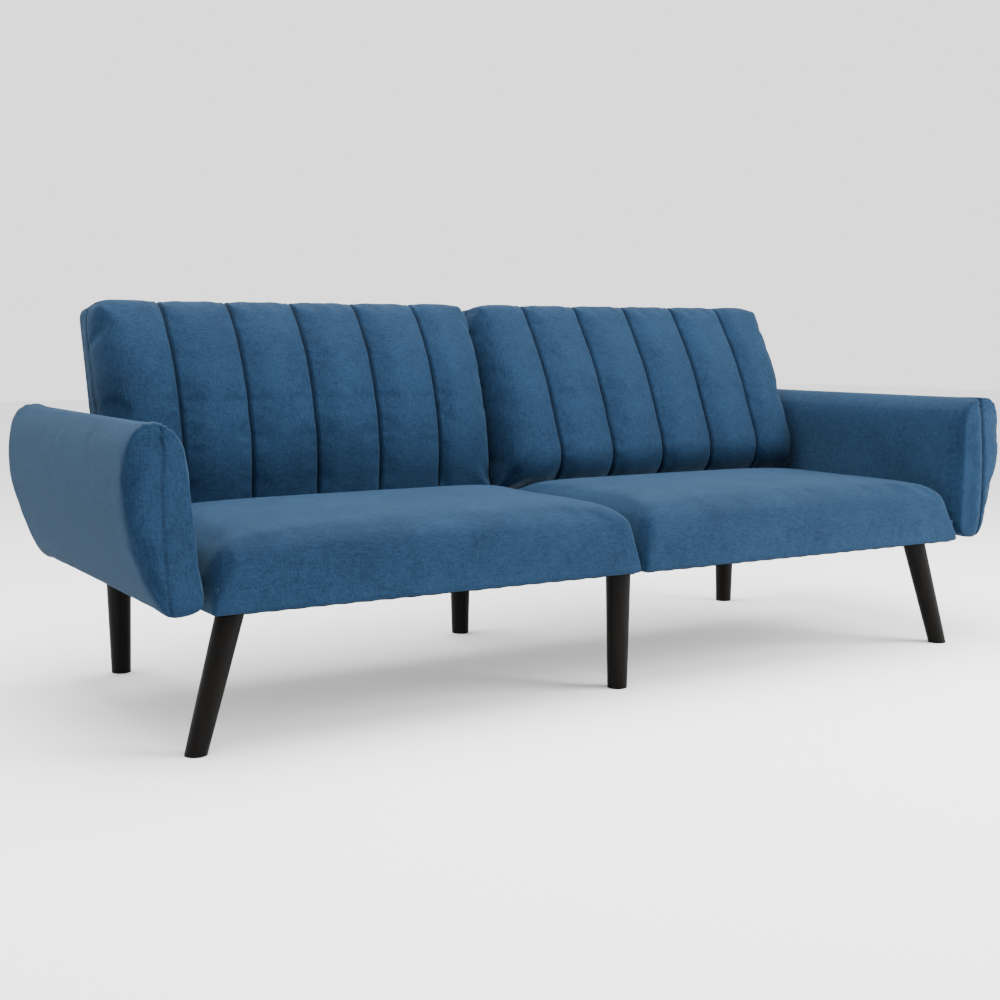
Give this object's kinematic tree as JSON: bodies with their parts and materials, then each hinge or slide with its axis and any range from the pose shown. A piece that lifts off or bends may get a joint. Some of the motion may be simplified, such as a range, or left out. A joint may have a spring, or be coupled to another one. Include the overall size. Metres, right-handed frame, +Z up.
{
  "type": "futon sofa bed",
  "caption": "Split-back futon sofa bed with rolled arms, channel-tufted backs that fold flat on steel hinges, smooth split seat and round tapered legs.",
  "frame": {"origin": "on the floor, at the middle of the footprint", "axes": "+X along the sofa, from its left arm to its right arm as seen from the front; the front faces -Y; +Z up"},
  "size_m": [2.075, 0.825, 0.7999],
  "materials": {
    "linen": "woven linen, matt",
    "timber": "sawn softwood",
    "plywood": "raw plywood",
    "ebony_wood": "black satin lacquer",
    "hinge_steel": "zinc plated",
    "spring_steel": "oiled wire",
    "black_steel": "powder coated",
    "black_cloth": "non-woven cambric",
    "webbing": "jute webbing"
  },
  "bodies": {
    "root": {"seat_cushion_left": "linen", "seat_front_rail_left": "timber", "seat_rear_rail_left": "timber", "seat_inner_rail_left": "timber", "seat_outer_rail_left": "timber", "seat_springs_left": "spring_steel", "dust_cover_left": "black_cloth", "arm_pad_left": "linen", "arm_panel_left": "plywood", "seat_cushion_right": "linen", "seat_front_rail_right": "timber", "seat_rear_rail_right": "timber", "seat_inner_rail_right": "timber", "seat_outer_rail_right": "timber", "seat_springs_right": "spring_steel", "dust_cover_right": "black_cloth", "arm_pad_right": "linen", "arm_panel_right": "plywood", "leg_beam_left": "timber", "leg_front_left": "ebony_wood", "leg_plate_front_left": "black_steel", "leg_rear_left": "ebony_wood", "leg_plate_rear_left": "black_steel", "leg_beam_center": "timber", "leg_front_center": "ebony_wood", "leg_plate_front_center": "black_steel", "leg_rear_center": "ebony_wood", "leg_plate_rear_center": "black_steel", "leg_beam_right": "timber", "leg_front_right": "ebony_wood", "leg_plate_front_right": "black_steel", "leg_rear_right": "ebony_wood", "leg_plate_rear_right": "black_steel", "hinge_seat_plate_left_outer": "hinge_steel", "hinge_pin_left_outer": "hinge_steel", "hinge_seat_plate_left_inner": "hinge_steel", "hinge_pin_left_inner": "hinge_steel", "hinge_seat_plate_right_outer": "hinge_steel", "hinge_pin_right_outer": "hinge_steel", "hinge_seat_plate_right_inner": "hinge_steel", "hinge_pin_right_inner": "hinge_steel"},
    "back_left": {"back_cushion_left": "linen", "back_outer_stile_left": "timber", "back_inner_stile_left": "timber", "back_lower_rail_left": "timber", "back_upper_rail_left": "timber", "back_webbing_left": "webbing", "back_lining_left": "black_cloth", "hinge_back_arm_left_outer": "hinge_steel", "hinge_back_arm_left_inner": "hinge_steel"},
    "back_right": {"back_cushion_right": "linen", "back_outer_stile_right": "timber", "back_inner_stile_right": "timber", "back_lower_rail_right": "timber", "back_upper_rail_right": "timber", "back_webbing_right": "webbing", "back_lining_right": "black_cloth", "hinge_back_arm_right_outer": "hinge_steel", "hinge_back_arm_right_inner": "hinge_steel"}
  },
  "joints": [
    {"name": "back_left_recline", "type": "hinge", "parent": "root", "child": "back_left", "pos_m": [-0.4535, 0.1524, 0.35], "axis": [-1, 0, 0], "range_deg": [-10, 74.3]},
    {"name": "back_right_recline", "type": "hinge", "parent": "root", "child": "back_right", "pos_m": [0.4535, 0.1524, 0.35], "axis": [-1, 0, 0], "range_deg": [-10, 74.3]}
  ]
}
